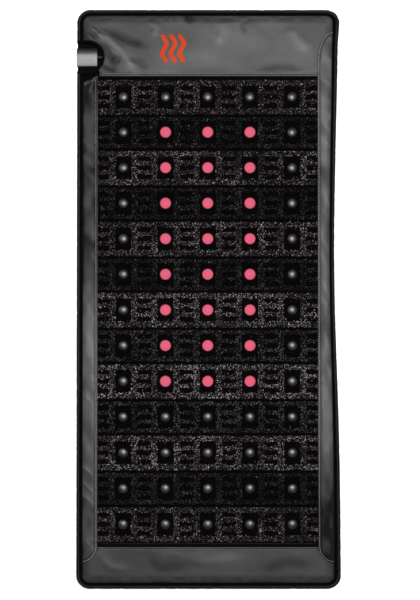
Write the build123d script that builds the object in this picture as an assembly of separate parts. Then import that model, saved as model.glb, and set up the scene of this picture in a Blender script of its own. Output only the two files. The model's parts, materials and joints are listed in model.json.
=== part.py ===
"""Far-infrared gemstone heating mat that folds in half across its width.

Frame: +X to the right, +Y towards the head end, +Z up. The origin is on the floor under the centre of the
mat. All sizes are in millimetres. Every sub-part is written to parts/NODE.step.
"""

from build123d import *
import os

# ---------------------------------------------------------------- driving dimensions
MAT_WIDTH = 815.0
MAT_LENGTH = 1800.0
CORNER_RADIUS = 42.0
EDGE_ROLL_WIDTH = 14.0
EDGE_ROLL_HEIGHT = 25.4
EDGE_ROLL_ROUNDING = 6.4

# Stations (stones and lamps) stand on a grid of rows, from the head end, and columns, from the left.
ROW_COUNT = 13
ROW_PITCH = 110.5
FIRST_ROW_Y = 626.5
COLUMN_PITCH = 131.0
COLUMN_COUNT = 5
LAMP_ROWS = range(2, 10)
LAMP_COLUMNS = range(2, 5)
WIDE_BAND = 117.0
NARROW_BAND = 104.0

# The window is the meshed area between the two leather panels and the two side bands.
WINDOW_HALF_WIDTH = 342.5
WINDOW_TOP_Y = 690.0
WINDOW_BOTTOM_Y = -769.0
TUCK = 8.0

# Layers, bottom and top of each.
COVER_Z = (0.0, 1.5)
BASE_FELT_Z = (1.5, 4.5)
FOAM_Z = (4.5, 15.3)
FOIL_Z = (15.4, 15.9)
HEATER_FELT_Z = (16.0, 18.5)
GEM_Z = (21.6, 27.6)
MESH_Z = (27.7, 28.2)
WADDING_Z = (21.6, 28.2)
PANEL_Z = (28.4, 29.6)
SIDE_BAND_Z = (29.7, 30.9)

# Fold: the hinge axis runs across the mat, just above the stones, over the seam between rows 6 and 7.
ROWS_IN_HEAD_HALF = 6
FOLD_GAP = 1.5
FOLD_AXIS_Z = 34.5

# Stations
STONE_RADIUS = 15.0
STONE_SHOULDER_Z = 28.6
STONE_TOP_Z = 33.0
STATION_Z = 18.6
PATCH_WIDTH = 46.0
PATCH_LENGTH = 51.0
HOLDER_RADIUS = 18.6
HOLDER_TOP_Z = 29.2
HOLDER_FLOOR = 1.0
LENS_RADIUS = 15.5
LENS_Z = (26.2, 29.8)
LENS_TOP_Z = 31.0
BOARD_RADIUS = 13.8
BOARD_Z = (19.8, 21.0)
FIT_CLEARANCE = 0.3

# Heating wire
WIRE_RADIUS = 1.5
WIRE_TURN_X = 327.0
WIRE_TURN_RADIUS = 27.0
WIRE_OUT_X = -264.0
WIRE_RETURN_X = -348.0
WIRE_BACK_X = -292.0
WIRE_CROSS_Y = 690.0

# Lamp harness: flat ribbons in the foam's top face, with a riser up to each board and to the sensor.
RIBBON_WIDTH = 6.0
RIBBON_THICKNESS = 1.2
RISER_RADIUS = 1.2
TRUNK_X = -200.0
SENSOR_Y = 239.75

# Socket recess in the left edge near the head end.
RECESS_X = -373.0
RECESS_Y = 750.5
RECESS_RADIUS = 47.5
TRAY_WALL = 2.2
TRAY_FLOOR = 2.0
TRAY_RIM_WIDTH = 5.0
TRAY_RIM_Z = (29.7, 31.2)

# Socket housing
SOCKET_WIDTH = 55.0
SOCKET_Z = (3.7, 30.5)
SOCKET_SPLIT_Z = 15.0
SOCKET_BACK_X = -344.5
SOCKET_WALL = 2.5
MOUTH_WIDTH = 40.0
MOUTH_Z = (9.0, 20.5)
CONTACT_FACE_X = -386.0
CONTACT_COLUMNS = 5
CONTACT_PITCH = 6.5
CONTACT_RADIUS = 1.6
CONTACT_Z = (12.2, 17.6)
SCREW_RADIUS = 1.5
SCREW_HEAD = (2.8, 0.9)
LEAD_Z = 23.5
LEAD_RADIUS = 3.3
BOOT_RADIUS = 5.5

# Junction board under the head panel
JUNCTION_X = (-302.0, -242.0)
JUNCTION_Y = (722.0, 778.0)
JUNCTION_Z = (18.8, 20.4)
JUNCTION_RISER_X = -250.0

LEFT_EDGE_X = -MAT_WIDTH / 2
SPLIT_MARGIN = 50.0


def row_y(row):
    """Centre line of a row, counted from 1 at the head end."""
    return FIRST_ROW_Y - (row - 1) * ROW_PITCH


def column_x(column):
    """Centre line of a column, counted from 1 at the left."""
    return (column - (COLUMN_COUNT + 1) / 2) * COLUMN_PITCH


def band_height(row):
    """Odd rows are the wider bands."""
    return WIDE_BAND if row % 2 else NARROW_BAND


FOLD_Y = row_y(ROWS_IN_HEAD_HALF) - band_height(ROWS_IN_HEAD_HALF) / 2
HALVES = ("head", "foot")
ROWS_OF = {
    "head": range(1, ROWS_IN_HEAD_HALF + 1),
    "foot": range(ROWS_IN_HEAD_HALF + 1, ROW_COUNT + 1),
}


def is_lamp(row, column):
    return row in LAMP_ROWS and column in LAMP_COLUMNS


def stations(rows, lamps):
    """Centres of the lamps, or of the stones, in these rows."""
    return [
        (column_x(column), row_y(row))
        for row in rows
        for column in range(1, COLUMN_COUNT + 1)
        if is_lamp(row, column) == lamps
    ]


def block(x, y, z):
    """A box given by its (low, high) on each axis."""
    size = [high - low for low, high in (x, y, z)]
    middle = [(high + low) / 2 for low, high in (x, y, z)]
    return Pos(*middle) * Box(*size)


def disc(x, y, z, radius):
    """An upright cylinder from z[0] to z[1]."""
    return Pos(x, y, (z[0] + z[1]) / 2) * Cylinder(radius, z[1] - z[0])


def slab(inset, z):
    """The mat's outline, drawn in by inset, from z[0] to z[1]."""
    outline = RectangleRounded(
        MAT_WIDTH - 2 * inset, MAT_LENGTH - 2 * inset, CORNER_RADIUS - inset
    )
    return extrude(Pos(0, 0, z[0]) * outline, amount=z[1] - z[0])


def half_space(half):
    """Everything on one side of the fold."""
    far = MAT_LENGTH / 2 + SPLIT_MARGIN
    side = MAT_WIDTH / 2 + SPLIT_MARGIN
    span = (FOLD_Y + FOLD_GAP / 2, far) if half == "head" else (-far, FOLD_Y - FOLD_GAP / 2)
    return block((-side, side), span, (-SPLIT_MARGIN, 2 * SPLIT_MARGIN))


def recess(grow=0.0, z=(-1.0, 60.0)):
    """The D-shaped space around the socket, open to the left edge."""
    radius = RECESS_RADIUS + grow
    open_side = block(
        (LEFT_EDGE_X - SPLIT_MARGIN, RECESS_X), (RECESS_Y - radius, RECESS_Y + radius), z
    )
    return open_side + disc(RECESS_X, RECESS_Y, z, radius)


def write(name, shape):
    export_step(shape, f"parts/{name}.step")


def write_halves(name, whole):
    """Cuts a sheet at the fold and writes one node for each half."""
    for half in HALVES:
        write(f"{name}_{half}", whole & half_space(half))


# ---------------------------------------------------------------- covers and layers
def bottom_cover():
    return slab(2.0, COVER_Z)


def base_felt():
    return slab(EDGE_ROLL_WIDTH + 0.5, BASE_FELT_Z) - recess(0.5)


def foam_core():
    """Soft foam with grooves in its top face for the lamp ribbons."""
    foam = slab(EDGE_ROLL_WIDTH + 0.5, FOAM_Z) - recess(0.5)
    return foam - [ribbon for half in HALVES for ribbon in ribbons(half, FIT_CLEARANCE)]


def reflective_foil():
    foil = slab(EDGE_ROLL_WIDTH + 4.0, FOIL_Z) - recess(0.5)
    return foil - riser_holes(FOIL_Z)


def heater_felt():
    felt = slab(EDGE_ROLL_WIDTH + 4.0, HEATER_FELT_Z) - recess(0.5)
    return felt - riser_holes(HEATER_FELT_Z)


def riser_holes(z):
    low, high = z
    radius = RISER_RADIUS + FIT_CLEARANCE
    return [disc(x, y, (low - 1, high + 1), radius) for half in HALVES for x, y, top in risers(half)]


def border_wadding():
    """Padding under the two panels and the two side bands, around the window."""
    window = block(
        (-WINDOW_HALF_WIDTH - TUCK - 1, WINDOW_HALF_WIDTH + TUCK + 1),
        (WINDOW_BOTTOM_Y, WINDOW_TOP_Y),
        (0.0, 60.0),
    )
    return slab(EDGE_ROLL_WIDTH + 0.5, WADDING_Z) - window - recess(0.5) - junction_pocket()


def edge_roll():
    """The padded binding round the whole edge, interrupted at the socket."""
    z = (COVER_Z[1] + 0.1, COVER_Z[1] + 0.1 + EDGE_ROLL_HEIGHT)
    ring = slab(0.0, z) - slab(EDGE_ROLL_WIDTH, (z[0] - 1, z[1] + 1))
    top_edges = ring.faces().sort_by(Axis.Z)[-1].edges()
    ring = fillet(top_edges, EDGE_ROLL_ROUNDING)
    gap = block(
        (LEFT_EDGE_X - 1, RECESS_X),
        (RECESS_Y - RECESS_RADIUS - 0.5, RECESS_Y + RECESS_RADIUS + 0.5),
        (0.0, 60.0),
    )
    return ring - gap


def panel(y):
    """A leather panel across the mat between two Y values."""
    across = MAT_WIDTH / 2
    return slab(EDGE_ROLL_WIDTH, PANEL_Z) & block((-across, across), y, (0.0, 60.0))


def head_panel():
    return panel((WINDOW_TOP_Y, MAT_LENGTH / 2)) - recess(0.5)


def foot_panel():
    return panel((-MAT_LENGTH / 2, WINDOW_BOTTOM_Y))


def side_band(side, top_inner, top_outer, bottom_inner, bottom_outer):
    """A band over the window's side edge; its inner edge curves out to the border at each end."""
    inner = side * WINDOW_HALF_WIDTH
    outer = side * (MAT_WIDTH / 2 - EDGE_ROLL_WIDTH - 0.2)
    bulge = 0.3
    top_corner = (inner + (outer - inner) * bulge, top_inner + (top_outer - top_inner) * (1 - bulge))
    bottom_corner = (
        inner + (outer - inner) * bulge,
        bottom_inner + (bottom_outer - bottom_inner) * (1 - bulge),
    )
    edges = (
        Line((inner, bottom_inner), (inner, top_inner))
        + ThreePointArc((inner, top_inner), top_corner, (outer, top_outer))
        + Line((outer, top_outer), (outer, bottom_outer))
        + ThreePointArc((outer, bottom_outer), bottom_corner, (inner, bottom_inner))
    )
    outline = Pos(0, 0, SIDE_BAND_Z[0]) * make_face(edges)
    return extrude(outline, amount=SIDE_BAND_Z[1] - SIDE_BAND_Z[0])


def side_band_right():
    return side_band(1, top_inner=740.0, top_outer=831.0, bottom_inner=-767.0, bottom_outer=-822.0)


def side_band_left():
    """Shorter at its top end, where it stops below the socket recess."""
    return side_band(-1, top_inner=698.0, top_outer=662.0, bottom_inner=-755.0, bottom_outer=-814.0)


# ---------------------------------------------------------------- gemstone rows
def gem_band(row):
    """A slightly crowned channel of crushed stone with an opening for each station patch."""
    half_width = WINDOW_HALF_WIDTH + TUCK
    half = band_height(row) / 2 - 0.4
    low, high = GEM_Z
    side_z = high - 2.0
    profile = (
        Polyline((-half, side_z), (-half, low), (half, low), (half, side_z))
        + ThreePointArc((half, side_z), (0, high), (-half, side_z))
    )
    section = Plane((-half_width, row_y(row), 0), x_dir=(0, 1, 0), z_dir=(1, 0, 0))
    band = extrude(section * make_face(profile), amount=2 * half_width)
    if row == ROWS_IN_HEAD_HALF:
        band = band & half_space("head")
    if row == ROWS_IN_HEAD_HALF + 1:
        band = band & half_space("foot")
    return band - [patch_blank(x, row_y(row), 0.3) for x in map(column_x, range(1, 6))]


def patch_blank(x, y, grow=0.0):
    half_width, half_length = PATCH_WIDTH / 2 + grow, PATCH_LENGTH / 2 + grow
    return block(
        (x - half_width, x + half_width), (y - half_length, y + half_length), (STATION_Z, GEM_Z[1])
    )


def station_patches(half):
    """Black pads that keep the crushed stone away from each stone and lamp."""
    seats = [(place, STONE_RADIUS) for place in stations(ROWS_OF[half], lamps=False)]
    seats += [(place, HOLDER_RADIUS) for place in stations(ROWS_OF[half], lamps=True)]
    return Compound(
        [
            (patch_blank(x, y) - disc(x, y, (0.0, 60.0), radius + FIT_CLEARANCE)).solid()
            for (x, y), radius in seats
        ]
    )


def mesh_cover():
    """Open mesh over the crushed stone, with a hole for each stone and lamp."""
    mesh = block(
        (-WINDOW_HALF_WIDTH - TUCK, WINDOW_HALF_WIDTH + TUCK),
        (WINDOW_BOTTOM_Y + 0.5, WINDOW_TOP_Y - 0.5),
        MESH_Z,
    )
    rows = range(1, ROW_COUNT + 1)
    holes = [(place, STONE_RADIUS) for place in stations(rows, lamps=False)]
    holes += [(place, HOLDER_RADIUS) for place in stations(rows, lamps=True)]
    return mesh - [disc(x, y, (0.0, 60.0), radius + 0.5) for (x, y), radius in holes]


def polished_stone(x, y):
    """A cabochon: a flat-bottomed disc with a domed top."""
    profile = (
        Polyline(
            (0, STONE_TOP_Z), (0, STATION_Z), (STONE_RADIUS, STATION_Z), (STONE_RADIUS, STONE_SHOULDER_Z)
        )
        + RadiusArc((STONE_RADIUS, STONE_SHOULDER_Z), (0, STONE_TOP_Z), -dome_radius(STONE_RADIUS, 4.4))
    )
    return Pos(x, y, 0) * revolve(Plane.XZ * make_face(profile), Axis.Z)


def dome_radius(radius, rise):
    """Radius of the sphere whose cap has this base radius and rise."""
    return (radius**2 + rise**2) / (2 * rise)


def polished_stones(half):
    return Compound([polished_stone(x, y).solid() for x, y in stations(ROWS_OF[half], lamps=False)])


# ---------------------------------------------------------------- lamps
def lamp_holder(x, y):
    """A black cup with a ledge for the lens and a hole in its floor for the lead."""
    cup = disc(x, y, (STATION_Z, HOLDER_TOP_Z), HOLDER_RADIUS)
    cup = cup - disc(x, y, (STATION_Z + HOLDER_FLOOR, 60.0), LENS_RADIUS - 1.0)
    cup = cup - disc(x, y, (LENS_Z[0], 60.0), LENS_RADIUS + 0.15)
    return cup - disc(x, y, (0.0, 60.0), RISER_RADIUS + FIT_CLEARANCE)


def lamp_lens(x, y):
    profile = (
        Polyline((0, LENS_TOP_Z), (0, LENS_Z[0]), (LENS_RADIUS, LENS_Z[0]), (LENS_RADIUS, LENS_Z[1]))
        + RadiusArc((LENS_RADIUS, LENS_Z[1]), (0, LENS_TOP_Z), -dome_radius(LENS_RADIUS, 1.2))
    )
    return Pos(x, y, 0) * revolve(Plane.XZ * make_face(profile), Axis.Z)


def lamp_board(x, y):
    """A round circuit board with three light-emitting chips."""
    board = disc(x, y, BOARD_Z, BOARD_RADIUS)
    chips = [
        block((x + dx - 1.8, x + dx + 1.8), (y + dy - 1.5, y + dy + 1.5), (BOARD_Z[1], BOARD_Z[1] + 0.9))
        for dx, dy in ((0, 5.5), (-5.0, -3.5), (5.0, -3.5))
    ]
    return board + chips


def each_lamp(half, make):
    return Compound([make(x, y).solid() for x, y in stations(ROWS_OF[half], lamps=True)])


def ribbons(half, grow=0.0):
    """Flat ribbons in the foam's top: one along each lamp row, and the trunk that joins them."""
    z = (FOAM_Z[1] - RIBBON_THICKNESS - grow, FOAM_Z[1])
    w = RIBBON_WIDTH / 2 + grow
    rows = [row for row in ROWS_OF[half] if row in LAMP_ROWS]
    runs = [
        block((TRUNK_X - w, column_x(LAMP_COLUMNS[-1]) + w), (row_y(row) - w, row_y(row) + w), z)
        for row in rows
    ]
    top = RECESS_Y + w if half == "head" else FOLD_Y - FOLD_GAP / 2
    bottom = FOLD_Y + FOLD_GAP / 2 if half == "head" else row_y(rows[-1]) - w
    runs.append(block((TRUNK_X - w, TRUNK_X + w), (bottom, top), z))
    if half == "head":
        runs.append(block((JUNCTION_RISER_X - w, TRUNK_X), (RECESS_Y - w, RECESS_Y + w), z))
    return runs


def risers(half):
    """Where a riser leaves the ribbons, and how high it goes: X, Y and its top."""
    places = [(x, y, BOARD_Z[0] - 0.1) for x, y in stations(ROWS_OF[half], lamps=True)]
    if half == "head":
        places.append((TRUNK_X, SENSOR_Y, HEATER_FELT_Z[1]))
        places.append((JUNCTION_RISER_X, RECESS_Y, JUNCTION_Z[0] - 0.1))
    return places


def lamp_harness(half):
    base, *others = ribbons(half)
    return base + others + [disc(x, y, (FOAM_Z[1] - 0.5, top), RISER_RADIUS) for x, y, top in risers(half)]


# ---------------------------------------------------------------- heating wire
def heater_route():
    """The wire's corners: from the junction, to and fro under every row, and back up the left side."""
    board_edge = JUNCTION_Y[0] - 1.0
    points = [(WIRE_OUT_X, board_edge), (WIRE_OUT_X, row_y(1) + ROW_PITCH / 4)]
    side = 1
    for row in range(1, ROW_COUNT + 1):
        for offset in (ROW_PITCH / 4, -ROW_PITCH / 4):
            y = row_y(row) + offset
            if points[-1][1] != y:
                points.append((points[-1][0], y))
            points.append((side * WIRE_TURN_X, y))
            side = -side
    points[-1] = (WIRE_RETURN_X, points[-1][1])
    points += [(WIRE_RETURN_X, WIRE_CROSS_Y), (WIRE_BACK_X, WIRE_CROSS_Y), (WIRE_BACK_X, board_edge)]
    return points


def heater_wire():
    z = HEATER_FELT_Z[1] + 0.05 + WIRE_RADIUS
    route = FilletPolyline(*[(x, y, z) for x, y in heater_route()], radius=WIRE_TURN_RADIUS)
    section = Plane(route @ 0, z_dir=route % 0) * Circle(WIRE_RADIUS)
    return sweep(section, path=route)


# ---------------------------------------------------------------- socket
def socket_tray():
    """A moulded D-shaped cup in the edge of the mat, with a rim over the head panel."""
    z = (COVER_Z[1] + 0.1, TRAY_RIM_Z[1])
    inside_z = (z[0] + TRAY_FLOOR, 60.0)
    body = recess(0.0, z) - recess(-TRAY_WALL, inside_z)
    rim = recess(TRAY_RIM_WIDTH, TRAY_RIM_Z) - recess(-TRAY_WALL, inside_z)
    keep = block((LEFT_EDGE_X + 1.0, 0.0), (0.0, MAT_LENGTH), (0.0, 60.0))
    tray = (body + rim) & keep
    lead_hole = Pos(RECESS_X + RECESS_RADIUS, RECESS_Y, LEAD_Z) * Rot(0, 90, 0)
    lead_hole = lead_hole * Cylinder(LEAD_RADIUS + 0.6, 12.0)
    head_radius, head_height = SCREW_HEAD
    holes = [disc(x, y, (0.0, 6.0), SCREW_RADIUS + 0.1) for x, y in screw_places()]
    holes += [disc(x, y, (0.0, z[0] + head_height + 0.1), head_radius + 0.2) for x, y in screw_places()]
    return tray - lead_hole - holes


def socket_blank(inset):
    """The socket's outer body: flat underneath, arched on top, drawn in by inset."""
    half = SOCKET_WIDTH / 2 - inset
    low, high = SOCKET_Z[0] + inset, SOCKET_Z[1] - inset
    shoulder = high - 8.0
    profile = (
        Polyline((-half, shoulder), (-half, low), (half, low), (half, shoulder))
        + ThreePointArc((half, shoulder), (0, high), (-half, shoulder))
    )
    section = Plane((LEFT_EDGE_X + inset, RECESS_Y, 0), x_dir=(0, 1, 0), z_dir=(1, 0, 0))
    length = SOCKET_BACK_X - LEFT_EDGE_X - 2 * inset
    return extrude(section * make_face(profile), amount=length)


def socket_shells():
    """Lower and upper halves of the socket housing."""
    body = socket_blank(0.0)
    long_edges = body.edges().filter_by(Axis.X).group_by(Axis.Z)[-1]
    body = fillet(long_edges, 2.0)
    shell = body - socket_blank(SOCKET_WALL)
    mouth = block(
        (LEFT_EDGE_X - 1, LEFT_EDGE_X + SOCKET_WALL + 1),
        (RECESS_Y - MOUTH_WIDTH / 2, RECESS_Y + MOUTH_WIDTH / 2),
        MOUTH_Z,
    )
    back_hole = Pos(SOCKET_BACK_X, RECESS_Y, LEAD_Z) * Rot(0, 90, 0) * Cylinder(BOOT_RADIUS - 1.7, 12.0)
    grooves = [
        block((LEFT_EDGE_X - 1, SOCKET_BACK_X - 9.0), (y - 0.6, y + 0.6), (SOCKET_Z[1] - 3.4, 60.0))
        for y in (RECESS_Y - 9.0, RECESS_Y + 9.0)
    ]
    screw_holes = [disc(x, y, (0.0, 9.0), SCREW_RADIUS) for x, y in screw_places()]
    shell = shell - mouth - back_hole - grooves - screw_holes
    room = ((-420.0, -330.0), (650.0, 850.0))
    lower = shell & block(*room, (0.0, SOCKET_SPLIT_Z - 0.05))
    upper = shell & block(*room, (SOCKET_SPLIT_Z + 0.05, 60.0))
    return lower, upper


def screw_places():
    """Two screws at each side, up through the tray floor into the lower shell."""
    return [(x, RECESS_Y + y) for x in (-396.0, -356.0) for y in (-21.0, 21.0)]


def socket_screws():
    """Flat-headed screws, driven up from under the tray into the lower shell."""
    floor = COVER_Z[1] + 0.1
    head_radius, head_height = SCREW_HEAD
    return Compound(
        [
            (
                disc(x, y, (floor, 7.6), SCREW_RADIUS - 0.02)
                + disc(x, y, (floor, floor + head_height), head_radius)
            ).solid()
            for x, y in screw_places()
        ]
    )


def contact_places():
    """Contact centres in Y and Z: two rows across the socket."""
    first = RECESS_Y - (CONTACT_COLUMNS - 1) / 2 * CONTACT_PITCH
    return [(first + i * CONTACT_PITCH, z) for i in range(CONTACT_COLUMNS) for z in CONTACT_Z]


def socket_contact_block():
    wall = SOCKET_WALL + 0.2
    block_body = block(
        (CONTACT_FACE_X, CONTACT_FACE_X + 14.0),
        (RECESS_Y - SOCKET_WIDTH / 2 + wall, RECESS_Y + SOCKET_WIDTH / 2 - wall),
        (SOCKET_Z[0] + SOCKET_WALL + 1.6, 19.9),
    )
    return block_body - [contact_rod(y, z, CONTACT_RADIUS, 20.0) for y, z in contact_places()]


def contact_rod(y, z, radius, length):
    return Pos(CONTACT_FACE_X + length / 2 - 1, y, z) * Rot(0, 90, 0) * Cylinder(radius, length)


def socket_contacts():
    """Brass sleeves, open towards the plug, with a solder tail behind the block."""
    sleeves = []
    for y, z in contact_places():
        sleeve = Pos(CONTACT_FACE_X + 8.5, y, z) * Rot(0, 90, 0) * Cylinder(CONTACT_RADIUS - 0.02, 17.0)
        bore = Pos(CONTACT_FACE_X + 5.0, y, z) * Rot(0, 90, 0) * Cylinder(1.0, 12.0)
        sleeves.append((sleeve - bore).solid())
    return Compound(sleeves)


def socket_boot():
    """Tapered strain relief on the socket's back, where the inner lead leaves it."""
    nose = Plane((SOCKET_BACK_X + 0.1, RECESS_Y, LEAD_Z), z_dir=(1, 0, 0))
    cone = extrude(nose * Circle(BOOT_RADIUS), amount=11.0, taper=6)
    neck = extrude(nose.offset(-4.0) * Circle(BOOT_RADIUS - 1.75), amount=4.0)
    bore = extrude(nose.offset(-6.0) * Circle(LEAD_RADIUS + 0.02), amount=20.0)
    return cone + neck - bore


def socket_lead():
    """The inner lead from the socket, through the tray wall, to the junction board."""
    start, end = SOCKET_BACK_X - 6.0, JUNCTION_X[0] + 1.0
    return Pos((start + end) / 2, RECESS_Y, LEAD_Z) * Rot(0, 90, 0) * Cylinder(LEAD_RADIUS, end - start)


# ---------------------------------------------------------------- junction
def junction_pocket():
    """Room in the wadding for the junction board and the lead that reaches it."""
    low_x, high_x = JUNCTION_X
    low_y, high_y = JUNCTION_Y
    board_room = block((low_x - 1, high_x + 1), (low_y - 1, high_y + 1), (0.0, 60.0))
    lead_room = block((RECESS_X, low_x), (RECESS_Y - 4.5, RECESS_Y + 4.5), (0.0, 60.0))
    return board_room + lead_room


def junction_board():
    """Circuit board that splits the lead into heater, sensor and lamp circuits."""
    board = block(JUNCTION_X, JUNCTION_Y, JUNCTION_Z)
    top = JUNCTION_Z[1]
    terminals = [
        block((x - 4.0, x + 4.0), (JUNCTION_Y[0] + 2, JUNCTION_Y[0] + 10), (top, top + 6.0))
        for x in (WIRE_BACK_X, WIRE_BACK_X + 14.0, WIRE_OUT_X)
    ]
    relay = block((-272.0, -250.0), (758.0, 773.0), (top, top + 7.0))
    return board + terminals + relay


def thermal_fuse():
    """A small cylindrical cut-out that lies on the junction board."""
    return Pos(-286.0, 766.0, JUNCTION_Z[1] + 2.05) * Rot(0, 90, 0) * Cylinder(2.0, 12.0)


def temperature_sensor():
    """A thermistor in a flat sleeve on the heater felt, between two runs of the wire."""
    z = (HEATER_FELT_Z[1] + 0.05, HEATER_FELT_Z[1] + 2.25)
    sleeve = block((TRUNK_X - 3.0, TRUNK_X + 24.0), (SENSOR_Y - 3.0, SENSOR_Y + 3.0), z)
    return sleeve + disc(TRUNK_X + 24.0, SENSOR_Y, z, 3.0)


# ---------------------------------------------------------------- writing
def main():
    os.makedirs("parts", exist_ok=True)
    for sheet in (
        bottom_cover,
        base_felt,
        foam_core,
        reflective_foil,
        heater_felt,
        border_wadding,
        edge_roll,
        side_band_left,
        side_band_right,
        mesh_cover,
        heater_wire,
    ):
        write_halves(sheet.__name__, sheet())
    for half in HALVES:
        write(f"station_patches_{half}", station_patches(half))
        write(f"polished_stones_{half}", polished_stones(half))
        write(f"lamp_holders_{half}", each_lamp(half, lamp_holder))
        write(f"lamp_lenses_{half}", each_lamp(half, lamp_lens))
        write(f"lamp_boards_{half}", each_lamp(half, lamp_board))
        write(f"lamp_harness_{half}", lamp_harness(half))
    for row in range(1, ROW_COUNT + 1):
        write(f"gem_band_{row:02d}", gem_band(row))
    lower, upper = socket_shells()
    write("socket_shell_lower", lower)
    write("socket_shell_upper", upper)
    for single in (
        head_panel,
        foot_panel,
        socket_tray,
        socket_screws,
        socket_contact_block,
        socket_contacts,
        socket_boot,
        socket_lead,
        junction_board,
        thermal_fuse,
        temperature_sensor,
    ):
        write(single.__name__, single())


main()
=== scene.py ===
"""The looks of a far-infrared gemstone heating mat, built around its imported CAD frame."""

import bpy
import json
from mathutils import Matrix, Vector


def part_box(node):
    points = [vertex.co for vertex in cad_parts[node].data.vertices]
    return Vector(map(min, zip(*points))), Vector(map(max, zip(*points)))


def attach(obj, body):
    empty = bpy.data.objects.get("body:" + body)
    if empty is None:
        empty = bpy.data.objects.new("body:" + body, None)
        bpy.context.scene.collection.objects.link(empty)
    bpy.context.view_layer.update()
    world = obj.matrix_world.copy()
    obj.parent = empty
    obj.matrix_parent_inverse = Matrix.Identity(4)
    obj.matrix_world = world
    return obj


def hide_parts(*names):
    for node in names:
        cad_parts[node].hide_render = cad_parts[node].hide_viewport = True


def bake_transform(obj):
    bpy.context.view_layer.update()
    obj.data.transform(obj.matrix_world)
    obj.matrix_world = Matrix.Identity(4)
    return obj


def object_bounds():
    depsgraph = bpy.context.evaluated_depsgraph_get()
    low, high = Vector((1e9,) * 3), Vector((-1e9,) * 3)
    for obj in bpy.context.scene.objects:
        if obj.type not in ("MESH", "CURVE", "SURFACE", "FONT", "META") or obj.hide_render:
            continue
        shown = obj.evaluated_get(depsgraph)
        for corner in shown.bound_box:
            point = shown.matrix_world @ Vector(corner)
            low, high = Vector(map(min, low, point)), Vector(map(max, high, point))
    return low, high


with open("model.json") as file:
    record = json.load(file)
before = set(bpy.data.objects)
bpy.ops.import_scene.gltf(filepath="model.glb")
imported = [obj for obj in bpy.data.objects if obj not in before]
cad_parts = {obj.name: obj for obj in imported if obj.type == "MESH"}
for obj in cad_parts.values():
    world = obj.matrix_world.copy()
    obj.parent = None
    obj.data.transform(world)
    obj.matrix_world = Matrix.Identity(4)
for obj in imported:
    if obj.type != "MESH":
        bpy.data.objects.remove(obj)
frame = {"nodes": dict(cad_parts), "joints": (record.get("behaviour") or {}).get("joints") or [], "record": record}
CAD_BOX = [list(corner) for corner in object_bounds()]

import json
import math

import bpy
import numpy as np
from mathutils import Vector

MM = 0.001
HEAD, FOOT = "head_half", "foot_half"


# ------------ sizes read from the frame
def box(node):
    low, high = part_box(node)
    return np.array(low), np.array(high)


HALF_WIDTH, HALF_LENGTH = CAD_BOX[1][:2]
CORNER = 42 * MM
ROLL_HALF = 7 * MM
PANEL_INSET = 19.5 * MM
STONES_LOW, STONES_HIGH = box("polished_stones_foot")
STONE_R = 15 * MM
COLUMNS = np.linspace(STONES_LOW[0] + STONE_R, STONES_HIGH[0] - STONE_R, 5)
BANDS = [box(f"gem_band_{n:02d}") for n in range(1, 14)]
ROWS = [(low[1] + high[1]) / 2 for low, high in BANDS]
PITCH = (ROWS[0] - ROWS[-1]) / 12
ROWS = [ROWS[0] - PITCH * n for n in range(13)]
HEAD_ROWS = 6
FOLD_Y = frame["joints"][0]["pos_m"][1]
LAMP_ROWS, LAMP_COLUMNS = range(1, 9), range(1, 4)
HEM_HEAD = box("head_panel")[0][1]
HEM_FOOT = box("foot_panel")[1][1]
PANEL_Z = box("head_panel")[1][2]
BAND_Z = box("side_band_right_head")[1][2]
BAND_INNER = box("side_band_right_head")[0][0]
GEM_TOP = BANDS[0][1][2]
NET_Z = box("mesh_cover_head")[1][2]
FELT_TOP = box("heater_felt_head")[1][2]
SHELL_LOW, SHELL_HIGH = box("socket_shell_upper")
SOCKET_Y = (SHELL_LOW[1] + SHELL_HIGH[1]) / 2
RECESS_R = 47.5 * MM
RECESS_X = -373 * MM


def is_lamp(row, column):
    return row in LAMP_ROWS and column in LAMP_COLUMNS


def stations(rows, lamps):
    return [(x, ROWS[r]) for r in rows for c, x in enumerate(COLUMNS) if is_lamp(r, c) == lamps]


HALF_ROWS = {HEAD: range(HEAD_ROWS), FOOT: range(HEAD_ROWS, 13)}
SUFFIX = {HEAD: "head", FOOT: "foot"}


# ------------ small maths
def smooth(t):
    t = np.clip(t, 0, 1)
    return t * t * (3 - 2 * t)


def bump_at(distance, width):
    return np.exp(-((distance / width) ** 2))


class Noise:
    """Smooth lattice noise from 0 to 1, the same each run."""

    def __init__(self, seed):
        self.grid = np.random.default_rng(seed).random((64, 64))

    def __call__(self, x, y):
        xi, yi = np.floor(x).astype(int), np.floor(y).astype(int)
        u, v = smooth(x - xi), smooth(y - yi)
        g = self.grid
        a, b = g[xi % 64, yi % 64], g[(xi + 1) % 64, yi % 64]
        c, d = g[xi % 64, (yi + 1) % 64], g[(xi + 1) % 64, (yi + 1) % 64]
        return (a * (1 - u) + b * u) * (1 - v) + (c * (1 - u) + d * u) * v


NOISE = [Noise(seed) for seed in range(11, 19)]


def settle(points):
    """The soft right-hand edge bows in at mid-length and stands out by 5 mm at its ends."""
    deepest, starts = 120 * MM, 350 * MM
    x, y = points[:, 0], points[:, 1]
    reach = np.where(y > deepest, 640 * MM, 470 * MM)
    fade = smooth((HALF_LENGTH + 10 * MM - np.abs(y)) / (130 * MM))
    bow = 18.5 * MM * bump_at(y - deepest, reach) * fade - 5 * MM
    points[:, 0] = x - bow * smooth((x - starts) / (HALF_WIDTH - starts))
    return points


# ------------ outlines as signed distances
def outline(x, y, inset):
    radius = max(CORNER - inset, 6 * MM)
    qx = np.abs(x) - (HALF_WIDTH - inset - radius)
    qy = np.abs(y) - (HALF_LENGTH - inset - radius)
    corner = np.hypot(np.maximum(qx, 0), np.maximum(qy, 0))
    return corner + np.minimum(np.maximum(qx, qy), 0) - radius


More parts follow.
